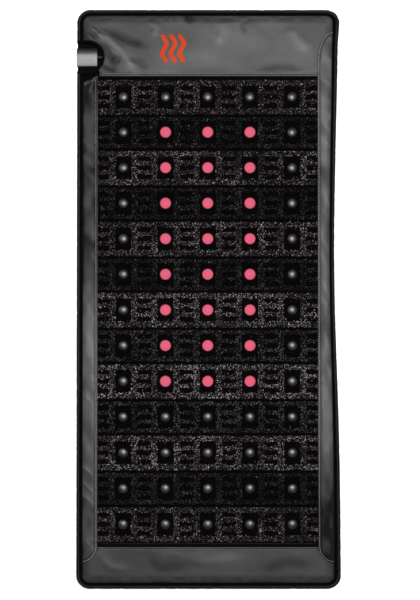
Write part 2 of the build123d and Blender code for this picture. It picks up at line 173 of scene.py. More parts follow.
def recess(x, y, grow=0.0):
    """Inside the socket recess is negative."""
    away = np.where(x < RECESS_X, np.abs(y - SOCKET_Y), np.hypot(x - RECESS_X, y - SOCKET_Y))
    return away - RECESS_R - grow


def window(x, y, grow=0.0):
    across = np.abs(x) - BAND_INNER - grow
    along = np.maximum(y - HEM_HEAD - grow, HEM_FOOT - grow - y)
    return np.maximum(across, along)


# ------------ mesh makers
def make(name, points, faces, material):
    mesh = bpy.data.meshes.new(name)
    mesh.from_pydata(np.asarray(points, float).tolist(), [], faces)
    mesh.update()
    mesh.polygons.foreach_set("use_smooth", [True] * len(mesh.polygons))
    obj = bpy.data.objects.new(name, mesh)
    bpy.context.scene.collection.objects.link(obj)
    mesh.materials.append(material)
    return obj


def store(obj, name, values):
    """Keeps one number for each vertex, which a material can read by its name."""
    attribute = obj.data.attributes.new(name, "FLOAT", "POINT")
    attribute.data.foreach_set("value", np.asarray(values, np.float32))


def level(height):
    return lambda x, y: height


def gradient(field, x, y, step=0.2 * MM):
    gx = (field(x + step, y) - field(x - step, y)) / (2 * step)
    gy = (field(x, y + step) - field(x, y - step)) / (2 * step)
    length = np.maximum(np.hypot(gx, gy), 1e-6)
    return gx / length, gy / length, length


def grid_quads(nx, ny):
    """The four corners of each cell in a grid of nx by ny points."""
    index = np.arange(nx * ny).reshape(nx, ny)
    return np.stack([index[:-1, :-1], index[1:, :-1], index[1:, 1:], index[:-1, 1:]], -1)


def grid_inside(field, extent, cell):
    """A grid over the area where field is negative, its rim moved to where field is zero."""
    (x0, x1), (y0, y1) = extent
    columns = np.linspace(x0, x1, max(2, int((x1 - x0) / cell)) + 1)
    lines = np.linspace(y0, y1, max(2, int((y1 - y0) / cell)) + 1)
    if y0 < FOLD_Y < y1:
        # The rows stand closer near the fold, where the piece bends.
        fine = FOLD_Y + np.arange(-48, 49, min(2, cell / MM)) * MM
        lines = np.concatenate([lines[lines < fine[0] - MM], fine, lines[lines > fine[-1] + MM]])
    gx, gy = np.meshgrid(columns, lines, indexing="ij")
    d = field(gx, gy)
    middle = (d[:-1, :-1] + d[1:, :-1] + d[1:, 1:] + d[:-1, 1:]) / 4
    used, quads = np.unique(grid_quads(*d.shape)[middle < 0], return_inverse=True)
    quads = quads.reshape(-1, 4)
    x, y = gx.ravel()[used], gy.ravel()[used]
    # An edge that no other quad runs along the other way is on the rim.
    edges = np.stack([quads.ravel(), np.roll(quads, -1, axis=1).ravel()], 1)
    there, back = edges @ (len(used), 1), edges @ (1, len(used))
    rim_edges = edges[~np.isin(there, back)]
    rim = np.unique(rim_edges)
    for _ in range(5):
        out_x, out_y, steep = gradient(field, x[rim], y[rim])
        away = np.clip(field(x[rim], y[rim]) / steep, -cell, cell)
        x[rim] -= out_x * away
        y[rim] -= out_y * away
    return x, y, quads, rim, rim_edges


def pad(name, field, extent, cell, top, bottom, material, radius=4 * MM, rings=5, tone_and_painted_shade=None):
    """A closed sheet or pad over the area where field is negative, with a rolled edge of the given radius."""
    inner = lambda x, y: field(x, y) + radius
    x, y, quads, rim, rim_edges = grid_inside(inner, extent, cell)
    count = len(x)
    z = top(x, y) * np.ones(count)
    points = [np.stack([x, y, z], 1)]
    out_x, out_y, _ = gradient(inner, x[rim], y[rim])
    a, b = np.searchsorted(rim, rim_edges).T
    faces = quads.tolist()
    before = rim
    for ring in range(1, rings + 1):
        angle = math.pi / 2 * ring / rings
        out, drop = radius * math.sin(angle), radius * (1 - math.cos(angle))
        points.append(np.stack([x[rim] + out_x * out, y[rim] + out_y * out, z[rim] - drop], 1))
        now = count + (ring - 1) * len(rim) + np.arange(len(rim))
        faces += np.stack([before[b], before[a], now[a], now[b]], 1).tolist()
        before = now
    start = count + rings * len(rim)
    low = np.stack([x, y, bottom(x, y) * np.ones(count)], 1)
    low[rim, :2] = points[-1][:, :2]
    points.append(low)
    faces += np.stack([before[b], before[a], start + rim[a], start + rim[b]], 1).tolist()
    faces += (quads[:, ::-1] + start).tolist()
    points = np.concatenate(points)
    # An optional function gives painted light and shade, kept for each vertex; chip bands store each chip's own
    # tone under the same name.
    shade = None if tone_and_painted_shade is None else np.clip(tone_and_painted_shade(points[:, 0], points[:, 1]), 0, 1)
    obj = make(name, settle(points), faces, material)
    if shade is not None:
        store(obj, "tone_and_painted_shade", shade)
    return obj


def lathe(name, profile, centres, material, closed=False, twist=0.0):
    """Copies of one turned shape. profile is (radius, z) from the middle outward; closed joins its ends."""
    segments = 40
    points, faces, radial = [], [], []
    angles = np.linspace(0, 2 * math.pi, segments, endpoint=False)
    for number, (cx, cy) in enumerate(centres):
        wobble = 1 + twist * np.cos(2 * angles + number * 2.4)
        rows = []
        for r, z in profile:
            if r < 1e-7:
                rows.append([len(points)] * segments)
                points.append((cx, cy, z))
                radial.append(0.0)
            else:
                rows.append(list(range(len(points), len(points) + segments)))
                for t, w in zip(angles, wobble):
                    points.append((cx + r * w * math.cos(t), cy + r * w * math.sin(t), z))
                radial += [r] * segments
        pairs = list(zip(rows, rows[1:])) + ([(rows[-1], rows[0])] if closed else [])
        for upper, lower in pairs:
            for i in range(segments):
                j = (i + 1) % segments
                face = [upper[i], lower[i], lower[j], upper[j]]
                faces.append([v for k, v in enumerate(face) if v not in face[:k]])
    obj = make(name, points, faces, material)
    store(obj, "radial", np.array(radial) / max(r for r, _ in profile))
    return obj


# ------------ materials
def nodes_of(name):
    material = bpy.data.materials.new(name)
    material.use_nodes = True
    tree = material.node_tree
    return material, tree, tree.nodes["Principled BSDF"]


def feed(tree, socket, value):
    """Gives an input a fixed value, or another node's output."""
    if isinstance(value, bpy.types.NodeSocket):
        tree.links.new(value, socket)
    else:
        socket.default_value = value


def put(tree, node, **values):
    for key, value in values.items():
        feed(tree, node.inputs[key.replace("_", " ")], value)


def add(tree, kind, *inputs, **values):
    """A new node. Each value is one of its settings or a named input; inputs without names come in order."""
    node = tree.nodes.new(kind)
    for key, value in values.items():
        if hasattr(node, key):
            setattr(node, key, value)
        else:
            put(tree, node, **{key: value})
    for socket, value in zip(node.inputs, inputs):
        feed(tree, socket, value)
    return node


def ramp(tree, source, stops):
    """Colours along a scale. A colour that is one number is a grey."""
    node = add(tree, "ShaderNodeValToRGB", source)
    elements = node.color_ramp.elements
    while len(elements) < len(stops):
        elements.new(0.5)
    for element, (at, colour) in zip(elements, stops):
        element.position = at
        element.color = (*(np.ones(3) * colour), 1)
    return node.outputs["Color"]


def mottled(tree, source, dark, light):
    return ramp(tree, source, [(0.3, dark), (0.7, light)])


def coordinates(tree, scale=(1, 1, 1)):
    place = add(tree, "ShaderNodeTexCoord").outputs["Object"]
    return add(tree, "ShaderNodeMapping", Vector=place, Scale=scale).outputs["Vector"]


def generated(tree, axis):
    """How far a place lies along the piece's own box or, in a world, up the sky."""
    place = add(tree, "ShaderNodeTexCoord").outputs["Generated"]
    return add(tree, "ShaderNodeSeparateXYZ", place).outputs[axis]


def stored(tree, name):
    return add(tree, "ShaderNodeAttribute", attribute_name=name).outputs["Fac"]


def noise(tree, scale, detail=3.0, stretch=(1, 1, 1)):
    place = coordinates(tree, stretch)
    return add(tree, "ShaderNodeTexNoise", Scale=scale, Detail=detail, Vector=place).outputs["Fac"]


def times_plus(tree, source, factor, more):
    return add(tree, "ShaderNodeMath", source, factor, more, operation="MULTIPLY_ADD").outputs[0]


def bumped(tree, shader, *layers):
    """Stacks bump maps: (height, strength, distance)."""
    below = {}
    for height, strength, distance in layers:
        node = add(tree, "ShaderNodeBump", Strength=strength, Distance=distance, Height=height, **below)
        below = {"Normal": node.outputs["Normal"]}
    put(tree, shader, **below)


def spread(tree, source, low, high):
    """The middle of a noise's range, stretched to reach from low to high."""
    node = add(tree, "ShaderNodeMapRange", Value=source, From_Min=0.3, From_Max=0.7, To_Min=low, To_Max=high)
    return node.outputs["Result"]


def leather(name, dark, light, specular, rough=None, grain=700):
    """Synthetic leather: pebble grain, fine creases and uneven gloss.

    With no range of roughness given, a stored vertex value decides: pale and glossy where a painted highlight or
    sheen lies, dark and dull where painted shade lies, with a little random patchiness added.
    """
    material, tree, shader = nodes_of(name)
    if rough is None:
        # The stored value is painted highlight and painted shade, plus random noise.
        patchy = times_plus(tree, noise(tree, 14, 5), 0.30, stored(tree, "tone_and_painted_shade"))
        even = add(tree, "ShaderNodeMath", patchy, 0.15, operation="SUBTRACT").outputs[0]
        colour = ramp(tree, even, [(0, np.multiply(dark, 0.12)), (0.6, dark), (1, light)])
        gloss = ramp(tree, even, [(0, 0.98), (0.15, 0.74), (0.35, 0.58), (0.75, 0.43), (1, 0.33)])
    else:
        colour = mottled(tree, noise(tree, 9, 4), dark, light)
        gloss = spread(tree, noise(tree, 60, 4), *rough)
    put(tree, shader, Base_Color=colour, Roughness=gloss, Specular_IOR_Level=specular)
    place = coordinates(tree)
    cells = add(tree, "ShaderNodeTexVoronoi", Scale=grain, feature="DISTANCE_TO_EDGE", Vector=place)
    pebble = ramp(tree, cells.outputs["Distance"], [(0, 0), (0.25, 1)])
    creases, fine = noise(tree, 45, 5), noise(tree, 1900, 2)
    bumped(tree, shader, (creases, 0.25, 0.0012), (pebble, 0.30, 0.0003), (fine, 0.2, 0.0001))
    return material


def cloth(name, dark, light, rough=0.85, pitch=0.0012):
    """Woven or felted cloth: crossed threads with fibre noise."""
    material, tree, shader = nodes_of(name)
    colour = mottled(tree, noise(tree, 240, 4), dark, light)
    put(tree, shader, Base_Color=colour, Roughness=rough, Specular_IOR_Level=0.02)
    # A wave texture of scale 1 has its crests 0.314 m apart.
    layers = []
    for axis in ("X", "Y"):
        wave = add(tree, "ShaderNodeTexWave", bands_direction=axis, Scale=0.314 / pitch, Distortion=0.6,
                   Vector=coordinates(tree))
        layers.append((wave.outputs["Fac"], 0.5, 0.0002))
    bumped(tree, shader, *layers, (noise(tree, 900, 3), 0.3, 0.0002))
    return material


def moulded(name, colour, rough, specular=0.5, metallic=0.0, brushed=(1, 1, 1), depth=0.12):
    """Moulded or plated hard material with a fine texture and handling marks."""
    material, tree, shader = nodes_of(name)
    low, high = np.multiply(colour, 0.86), np.minimum(1, np.multiply(colour, 1.12))
    put(tree, shader, Base_Color=mottled(tree, noise(tree, 130, 5, brushed), low, high),
        Roughness=spread(tree, noise(tree, 320, 4, brushed), *rough), Specular_IOR_Level=specular,
        Metallic=metallic)
    bumped(tree, shader, (noise(tree, 1500, 3, brushed), depth, 0.0001))
    return material


def shaded_silver(name):
    """Satin silver lacquer, brushed lengthwise, with painted shade across it: pale bands across the middle, darker
    towards its foot-side edge and near black towards its head-side edge.
    """
    material, tree, shader = nodes_of(name)
    streaks_and_painted_shade = times_plus(tree, noise(tree, 160, 4, (0.12, 1, 1)), 0.16, generated(tree, "Y"))
    # Painted shade and painted highlight bands across the piece, with brushed streaks mixed in.
    stops = [(0.05, 0.07), (0.16, 0.22), (0.42, 0.25), (0.70, 0.20), (0.82, 0.06), (0.98, 0.012)]
    brushed = (0.15, 1, 1)
    put(tree, shader, Base_Color=ramp(tree, streaks_and_painted_shade, stops),
        Roughness=spread(tree, noise(tree, 320, 4, brushed), 0.42, 0.55), Specular_IOR_Level=0.12)
    bumped(tree, shader, (noise(tree, 1500, 3, brushed), 0.12, 0.0001))
    return material


def chips(name, stops, rough):
    """Crushed stone: each chip has its own tone, from dull black to a bright broken face."""
    material, tree, shader = nodes_of(name)
    put(tree, shader, Base_Color=ramp(tree, stored(tree, "tone_and_painted_shade"), stops),
        Roughness=spread(tree, noise(tree, 700, 2), *rough))
    bumped(tree, shader, (noise(tree, 1300, 3), 0.4, 0.0003))
    return material


def lens(name):
    """Dark red lamp lens that glows pink."""
    material, tree, shader = nodes_of(name)
    radial = stored(tree, "radial")
    glow = [(0.0, (0.86, 0.17, 0.22)), (0.28, (0.82, 0.10, 0.19)), (0.80, (0.80, 0.11, 0.21)),
            (0.97, (0.74, 0.17, 0.27))]
    body = [(0.0, (0.16, 0.02, 0.03)), (0.9, (0.12, 0.012, 0.024))]
    put(tree, shader, Base_Color=ramp(tree, radial, body), Roughness=0.5, Specular_IOR_Level=0.1,
        Emission_Color=ramp(tree, radial, glow), Emission_Strength=0.66)
    bumped(tree, shader, (noise(tree, 900, 2), 0.08, 0.0001))
    return material


def holder(name):
    """Near-black dark red moulding, with the lamp's pink glow painted on its inner lip."""
    material, tree, shader = nodes_of(name)
    # Painted lamp glow on the inner lip; near-black dark red beyond it.
    stops = [(0.0, (0.02, 0.001, 0.002)), (0.835, (0.35, 0.035, 0.07)), (0.90, (0.30, 0.02, 0.05)),
             (0.95, (0.020, 0.001, 0.003)), (1.0, (0.008, 0.0006, 0.0015))]
    put(tree, shader, Base_Color=ramp(tree, stored(tree, "radial"), stops),
        Roughness=spread(tree, noise(tree, 320, 4), 0.4, 0.55), Specular_IOR_Level=0.08)
    bumped(tree, shader, (noise(tree, 1500, 3), 0.1, 0.0001))
    return material


def polished(name):
    """Tumbled black stone with faint veins."""
    material, tree, shader = nodes_of(name)
    veins = [(0.35, (0.006, 0.006, 0.007)), (0.75, (0.022, 0.021, 0.024))]
    put(tree, shader, Base_Color=ramp(tree, noise(tree, 70, 6), veins),
        Roughness=spread(tree, noise(tree, 220, 3), 0.30, 0.40), Specular_IOR_Level=0.42)
    bumped(tree, shader, (noise(tree, 160, 3), 0.06, 0.0004))
    return material


MAUVE = [(0.0, (0.008, 0.006, 0.007)), (0.30, (0.040, 0.031, 0.034)), (0.60, (0.120, 0.094, 0.104)),
         (0.85, (0.26, 0.215, 0.235)), (1.0, (0.60, 0.54, 0.56))]
BLACK = [(0.0, 0.002), (0.40, (0.009, 0.010, 0.009)), (0.80, (0.036, 0.040, 0.036)),
         (1.0, (0.15, 0.16, 0.15))]
MAT = {
    "panel": leather("leather_panel", (0.012, 0.012, 0.0125), (0.024, 0.024, 0.0245), 0.26),
    # The foot panel's leather is a slightly darker copy of the head panel's, with a little less gloss: painted
    # shade.
    "foot": leather("leather_foot_painted_shade", (0.011, 0.011, 0.0115), (0.022, 0.022, 0.0225), 0.24),
    "band": leather("leather_band", (0.011, 0.011, 0.0115), (0.024, 0.024, 0.0245), 0.26),
    "edge": leather("leather_edge", (0.0022, 0.0022, 0.0023), (0.0045, 0.0045, 0.0047), 0.075, (0.34, 0.42)),
    "under": leather("leather_under", (0.012, 0.012, 0.013), (0.022, 0.022, 0.023), 0.35, (0.5, 0.62), 450),
    "gutter": cloth("cloth_gutter", 0.0008, 0.002),
    "foam": cloth("foam", (0.42, 0.43, 0.41), (0.56, 0.57, 0.54), 0.95, 0.004),
    "felt": cloth("heat_felt", 0.010, (0.020, 0.020, 0.019), 0.95, 0.003),
    "mesh": cloth("net_thread", (0.0018, 0.0018, 0.002), (0.005, 0.005, 0.0055), 0.7, 0.0006),
    "pad": cloth("pad_cloth", (0.0006, 0.0006, 0.0007), (0.0016, 0.0016, 0.0018), 0.9, 0.0011),
    "channel": cloth("channel_cloth", (0.0005, 0.0004, 0.0004), (0.0024, 0.0014, 0.0016), 0.92, 0.0013),
    "thread": cloth("sewing_thread", 0.22, 0.34, 0.5, 0.0005),
    "print": leather("printed_mark", (0.38, 0.030, 0.004), (0.46, 0.040, 0.006), 0.06, (0.5, 0.6)),
    "mauve": chips("crushed_mauve", MAUVE, (0.12, 0.34)),
    "black": chips("crushed_black", BLACK, (0.22, 0.45)),
    "stone": polished("polished_stone"),
    "lens": lens("lamp_lens"),
    "holder": holder("holder_dark_red_painted_glow"),
    "silver": shaded_silver("socket_silver"),
    "black_plastic": moulded("black_plastic", (0.0012, 0.0012, 0.0013), (0.50, 0.62), 0.012),
    "rubber": moulded("black_rubber", 0.010, (0.6, 0.75), 0.3, depth=0.3),
    "wire": moulded("silicone_wire", (0.030, 0.008, 0.007), (0.45, 0.6), 0.3),
    "brass": moulded("brass", (0.72, 0.52, 0.22), (0.2, 0.34), metallic=1.0),
    "steel": moulded("steel", (0.56, 0.56, 0.57), (0.24, 0.38), metallic=1.0, brushed=(1, 1, 0.2)),
    "board_white": moulded("board_white", (0.72, 0.72, 0.68), (0.35, 0.5)),
    "board_green": moulded("board_green", (0.03, 0.16, 0.07), (0.3, 0.45)),
    "ceramic": moulded("ceramic", (0.72, 0.70, 0.64), (0.4, 0.55)),
    "sleeve": moulded("sensor_sleeve", (0.62, 0.55, 0.14), (0.45, 0.6)),
}


def across_fold(obj):
    """Bakes the piece's placement into its mesh."""
    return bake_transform(obj)


def halves(*names):
    return [f"{name}_{half}" for name in names for half in ("head", "foot")]


WHOLE = ((-HALF_WIDTH, HALF_WIDTH), (-HALF_LENGTH, HALF_LENGTH))
COVER_TOP = 1.5 * MM
FOAM_LOW, FOAM_TOP = 1.7 * MM, 15.2 * MM
FELT_LOW = 15.6 * MM


# ------------ underside, padding and gutter
def make_padding():
    notched = lambda inset: lambda x, y: np.maximum(outline(x, y, inset), -recess(x, y, 1 * MM))

    def below(x, y):
        quilt = 0.35 * MM * (1 - bump_at(outline(x, y, 30 * MM), 3 * MM))
        return 0.45 * MM - quilt

    edge = lambda x, y: outline(x, y, 2 * MM)
    cover = pad("under_cover", edge, WHOLE, 12 * MM, level(COVER_TOP), below, MAT["under"],
                radius=0.9 * MM, rings=3)
    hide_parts(*halves("bottom_cover"))
    across_fold(cover)

    foam = pad("foam_padding", notched(13 * MM), WHOLE, 14 * MM, level(FOAM_TOP), level(FOAM_LOW),
               MAT["foam"], radius=3 * MM, rings=3)
    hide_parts(*halves("foam_core", "base_felt"))
    across_fold(foam)

    felt = pad("heat_felt", notched(17 * MM), WHOLE, 14 * MM, level(FELT_TOP - 0.1 * MM), level(FELT_LOW),
               MAT["felt"], radius=0.8 * MM, rings=2)
    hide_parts(*halves("heater_felt", "reflective_foil"))
    across_fold(felt)

    ring = lambda x, y: np.maximum(notched(11 * MM)(x, y), -window(x, y, -7 * MM))
    rising = lambda x, y: 21.5 * MM + 3.4 * MM * smooth(-outline(x, y, 24 * MM) / (12 * MM))
    gutter = pad("border_padding", ring, WHOLE, 7 * MM, rising, level(FELT_TOP + 0.2 * MM), MAT["gutter"],
                 radius=1.2 * MM, rings=2)
    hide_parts(*halves("border_wadding"))
    across_fold(gutter)


# ------------ edge roll
def roll_path(step):
    """Points and outward directions along the roll's centre line, from below the socket and round."""
    hx, hy, r = HALF_WIDTH - ROLL_HALF, HALF_LENGTH - ROLL_HALF, CORNER - ROLL_HALF
    gap = RECESS_R + 0.5 * MM
    points, outward = [], []

    def straight(ax, ay, bx, by, nx, ny):
        count = max(2, int(math.hypot(bx - ax, by - ay) / step))
        for t in np.linspace(0, 1, count, endpoint=False):
            points.append((ax + (bx - ax) * t, ay + (by - ay) * t))
            outward.append((nx, ny))

    def corner(cx, cy, first):
        for t in np.linspace(0, math.pi / 2, 18, endpoint=False):
            n = (math.cos(first + t), math.sin(first + t))
            points.append((cx + r * n[0], cy + r * n[1]))
            outward.append(n)

    straight(-hx, SOCKET_Y - gap, -hx, -hy + r, -1, 0)
    corner(-hx + r, -hy + r, math.pi)
    straight(-hx + r, -hy, hx - r, -hy, 0, -1)
    corner(hx - r, -hy + r, 1.5 * math.pi)
    straight(hx, -hy + r, hx, hy - r, 1, 0)
    corner(hx - r, hy - r, 0)
    straight(hx - r, hy, -hx + r, hy, 0, 1)
    corner(-hx + r, hy - r, math.pi / 2)
    straight(-hx, hy - r, -hx, SOCKET_Y + gap, -1, 0)
    points.append((-hx, SOCKET_Y + gap))
    outward.append((-1, 0))
    return np.array(points), np.array(outward)


def make_edge_roll():
    points, outward = roll_path(4.2 * MM)
    length = np.concatenate([[0], np.cumsum(np.hypot(*np.diff(points, axis=0).T))])
    # Section, from the inner foot over the crest to the outer foot: across and height.
    arch = [(-6.9 * math.cos(t), 18.2 + 8.3 * math.sin(t)) for t in np.linspace(0, math.pi, 11)]
    section = [(-5.6, 1.9), (-6.9, 4.5)] + arch + [
        (6.9, 12.5), (6.75, 9.9), (5.9, 9.0), (6.75, 8.1), (6.9, 5.0), (5.8, 2.0)]
    section = np.array(section) * MM
    rng = np.random.default_rng(5)
    creases = rng.uniform(0, length[-1], 150)
    depth = rng.uniform(0.3, 1.0, 150) * MM
    pinch = sum(d * bump_at(length - c, 4.5 * MM) for c, d in zip(creases, depth))
    rings = []
    for k, (across, height) in enumerate(section):
        crest = smooth((height - 8 * MM) / (14 * MM))
        wave = (NOISE[0](length / (70 * MM), length * 0 + k * 0.15) - 0.5) * 1.3 * MM
        swell = (NOISE[1](length / (19 * MM), length * 0 + k * 0.3) - 0.5) * 0.8 * MM
        shrink = 1 - (pinch * crest + 0.15 * MM) / (9 * MM)
        offset = across * shrink + wave * 0.3 * np.sign(-across if across > 0 else 1) * crest
        offset = np.minimum(offset, 6.95 * MM)
        h = height - pinch * crest * 0.8 + (wave + swell) * 0.6 * crest
        rings.append(np.column_stack([points + outward * offset[:, None], h]))
    grid = np.stack(rings, 1)
    n, m = grid.shape[:2]
    index = np.arange(n * m).reshape(n, m)
    after = np.roll(index, -1, axis=1)
    faces = np.stack([index[:-1], index[1:], after[1:], after[:-1]], -1).reshape(-1, 4).tolist()
    faces += [index[0].tolist(), index[-1][::-1].tolist()]
    roll = make("edge_roll", settle(grid.reshape(-1, 3)), faces, MAT["edge"])
    for polygon in roll.data.polygons:
        if polygon.loop_total > 4:
            polygon.use_smooth = False
    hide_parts(*halves("edge_roll"))
    across_fold(roll)


# ------------ leather panels
def along(x, y, path, width, height, fade=0.25):
    """A soft ridge (or valley, if height is negative) that follows a path and dies away at its ends."""
    path = np.array(path) * MM
    legs = np.diff(path, axis=0)
    sizes = np.hypot(legs[:, 0], legs[:, 1])
    starts = np.concatenate([[0], np.cumsum(sizes)])
    best, at = np.full(np.shape(x), 9.0), np.zeros(np.shape(x))
    for (px, py), (lx, ly), size, start in zip(path, legs, sizes, starts):
        t = np.clip(((x - px) * lx + (y - py) * ly) / size**2, 0, 1)
        away = np.hypot(x - px - t * lx, y - py - t * ly)
        nearer = away < best
        best, at = np.where(nearer, away, best), np.where(nearer, start + t * size, at)
    t = at / starts[-1]
    taper = smooth(t / fade) * smooth((1 - t) / fade)
    return height * MM * bump_at(best, width * MM) * (0.25 + 0.75 * taper)


# Wrinkles of the two panels: path, half width and height, all in millimetres.
WRINKLES = [
    ([(-357, 834), (-318, 814), (-267, 770), (-225, 706)], 19, 3.8),
    ([(-346, 796), (-318, 776), (-298, 744), (-292, 712)], 9, -2.4),
    ([(-310, 842), (-280, 822), (-236, 800), (-190, 786)], 11, -2.8),
    ([(-250, 752), (-212, 738), (-190, 712)], 10, -1.4),
    ([(-300, 752), (-284, 742), (-270, 738)], 9, -2.2),
    ([(-331, 726), (-302, 712), (-286, 704)], 6, -2.4),
    ([(-384, 826), (-367, 813), (-352, 798)], 3.4, 2.8),
    ([(-374, 836), (-359, 823), (-345, 806)], 3.2, -2.2),
    ([(-363, 844), (-347, 830), (-333, 812)], 3.6, 2.0),
    ([(-392, 812), (-381, 800), (-372, 797)], 4.0, 2.2),
    ([(-72, 880), (-57, 868), (-42, 878)], 8, -3.2),
    ([(-180, 870), (-160, 842), (-170, 812)], 12, 1.6),
    ([(40, 872), (46, 830), (30, 790)], 16, 1.4),
    ([(120, 872), (110, 850), (118, 826)], 8, -1.2),
    ([(150, 716), (220, 726), (300, 716)], 12, -1.4),
    ([(250, 850), (290, 800), (320, 770)], 22, 1.6),
    ([(-190, -800), (-150, -835), (-60, -842)], 16, -1.6),
    ([(-120, -792), (0, -815), (120, -800)], 18, 1.3),
    ([(160, -842), (240, -822), (330, -830)], 16, -1.6),
    ([(-330, -800), (-300, -830), (-240, -840)], 14, 1.5),
]


def panel_painted_shade_and_highlight(x, y):
    """Painted light and shade on the panels: painted shade in valleys, in the groove behind each hem, along the
    border, at the corner by the socket and round the recess; painted highlight on ridges and along each hem; the
    foot panel and the head panel's left are painted darker, with random patches on top.
    """
    border = -outline(x, y, PANEL_INSET)
    hem = np.where(y > 0, y - HEM_HEAD, HEM_FOOT - y)
    tone_and_painted_shade = np.where(y > 0, 0.66 + 0.17 * smooth((x + 260 * MM) / (330 * MM)), 0.56)
    tone_and_painted_shade = tone_and_painted_shade + sum(along(x, y, path, width, height) for path, width, height in WRINKLES) / MM * 0.15
    tone_and_painted_shade = tone_and_painted_shade + (NOISE[4](x / (70 * MM), y / (50 * MM)) - 0.5) * 0.22
    tone_and_painted_shade = tone_and_painted_shade + 0.36 * bump_at(hem - 3.4 * MM, 3.2 * MM) - 0.35 * bump_at(hem - 9 * MM, 2.6 * MM)
    tone_and_painted_shade = tone_and_painted_shade - 0.30 * bump_at(np.hypot(x + 385 * MM, y - 800 * MM), 38 * MM)
    return tone_and_painted_shade - 0.45 * (1 - smooth(border / (15 * MM))) - 0.4 * bump_at(recess(x, y), 7 * MM)


def panel_height(x, y):
    """Top of either panel: slack leather over wadding, pulled down at its border and hemmed at the window."""
    border = -outline(x, y, PANEL_INSET)
    hem = np.where(y > 0, y - HEM_HEAD, HEM_FOOT - y)
    z = PANEL_Z - 2.6 * MM + 2.6 * MM * smooth(border / (26 * MM))
    z = z + 0.9 * MM * bump_at(hem - 3.2 * MM, 3.0 * MM) - 0.9 * MM * bump_at(hem - 8.5 * MM, 2.2 * MM)
    slack = (NOISE[2](x / (95 * MM), y / (60 * MM)) - 0.5) * 2.2 * MM
    slack = slack + (NOISE[3]((x + 0.5 * y) / (38 * MM), (y - 0.3 * x) / (70 * MM)) - 0.5) * 1.0 * MM
    z = z + slack * smooth(hem / (24 * MM)) * smooth(border / (20 * MM))
    gathers = bump_at(border, 16 * MM) * (NOISE[4](x / (13 * MM), y / (13 * MM)) - 0.5) * 2.0 * MM
    z = z + gathers * smooth(hem / (20 * MM))
    for path, width, height in WRINKLES:
        z = z + along(x, y, path, width, height)
    return z


def make_panels():
    def head_area(x, y):
        area = np.maximum(outline(x, y, PANEL_INSET), HEM_HEAD - y)
        area = np.maximum(area, -recess(x, y, 0.6 * MM))
        return np.maximum(area, -np.maximum(x + 338 * MM, y - 706 * MM))

    def foot_area(x, y):
        return np.maximum(outline(x, y, PANEL_INSET), y - HEM_FOOT)

    across = (-HALF_WIDTH, HALF_WIDTH)
    for name, area, rows, body, material in (
        ("head_panel", head_area, (HEM_HEAD - 8 * MM, HALF_LENGTH), HEAD, "panel"),
        ("foot_panel", foot_area, (-HALF_LENGTH, HEM_FOOT + 8 * MM), FOOT, "foot"),
    ):
        # Each panel carries painted highlight and painted shade as a vertex value.
        obj = pad(name + "_leather", area, (across, rows), 3.4 * MM, panel_height,
                  level(PANEL_Z - 5.2 * MM), MAT[material], radius=2.6 * MM, rings=6, tone_and_painted_shade=panel_painted_shade_and_highlight)
        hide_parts(name)
        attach(obj, body)


def make_mark():
    """Three rising waves of heat, printed on the head panel."""
    middle_x, middle_y = -108 * MM, 777 * MM

    def bars(x, y):
        best = np.full(np.shape(x), 9.0)
        for shift in (-27 * MM, 0, 27 * MM):
            centre = middle_x + shift + 6.5 * MM * np.sin((y - middle_y) * 2 * math.pi / (62 * MM))
            away = np.hypot(x - centre, np.maximum(np.abs(y - middle_y) - 37 * MM, 0)) - 7.6 * MM
            best = np.minimum(best, away)
        return best

    extent = ((middle_x - 50 * MM, middle_x + 50 * MM), (middle_y - 52 * MM, middle_y + 52 * MM))
    above = lambda x, y: panel_height(x, y) + 0.45 * MM
    below = lambda x, y: panel_height(x, y) - 0.4 * MM
    obj = pad("heat_mark", bars, extent, 1.6 * MM, above, below, MAT["print"], radius=0.35 * MM, rings=2)
    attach(obj, HEAD)


# ------------ side bands
ENDS = {1: ((740, 91), (-764, 55)), -1: (None, (-766, 52))}
BAND_OUTER = HALF_WIDTH - PANEL_INSET
STITCH_PITCH = 7.5 * MM


def band_inner(side, x, y, inset=0.0):
    """Signed distance to the band's inner edge, which curves out to the border at its ends."""
    a = np.abs(x)
    depth = BAND_OUTER - BAND_INNER + 1 * MM - inset
    top, bottom = ENDS[side]
    field = BAND_INNER + inset - a
    for end, sign in ((top, 1), (bottom, -1)):
        if end is None:
            continue
        start, reach = end[0] * MM, end[1] * MM - inset
        u, v = (BAND_OUTER + 1 * MM - a) / depth, (y - start) * sign / reach
        q = np.hypot(np.maximum(u, 0), np.maximum(v, 0))
        steep = np.hypot(np.maximum(u, 0) / depth, np.maximum(v, 0) / reach) / np.maximum(q, 1e-6)
        field = np.where(v > 0, (q - 1) / np.maximum(steep, 1e-6), field)
    if top is None:
        slant = (a - 343.3 * MM) * 0.463 + (y - 693 * MM) * 0.886
        field = np.maximum(field, slant + inset)
    return field


# Pulls in the left band where it ends under the socket.
BAND_FOLDS = [
    ([(-364, 692), (-377, 677), (-386, 662)], 4, 1.8),
    ([(-357, 690), (-368, 671), (-376, 648)], 4, -2.0),
    ([(-352, 682), (-361, 662), (-366, 636)], 5, 1.6),
]


def band_swirl(side, a, y):
    """Slanting folds of a side band; a is the distance from the mat's centre line."""
    return NOISE[5]((y + 0.85 * side * a) / (46 * MM), (a - 0.3 * y) / (120 * MM))


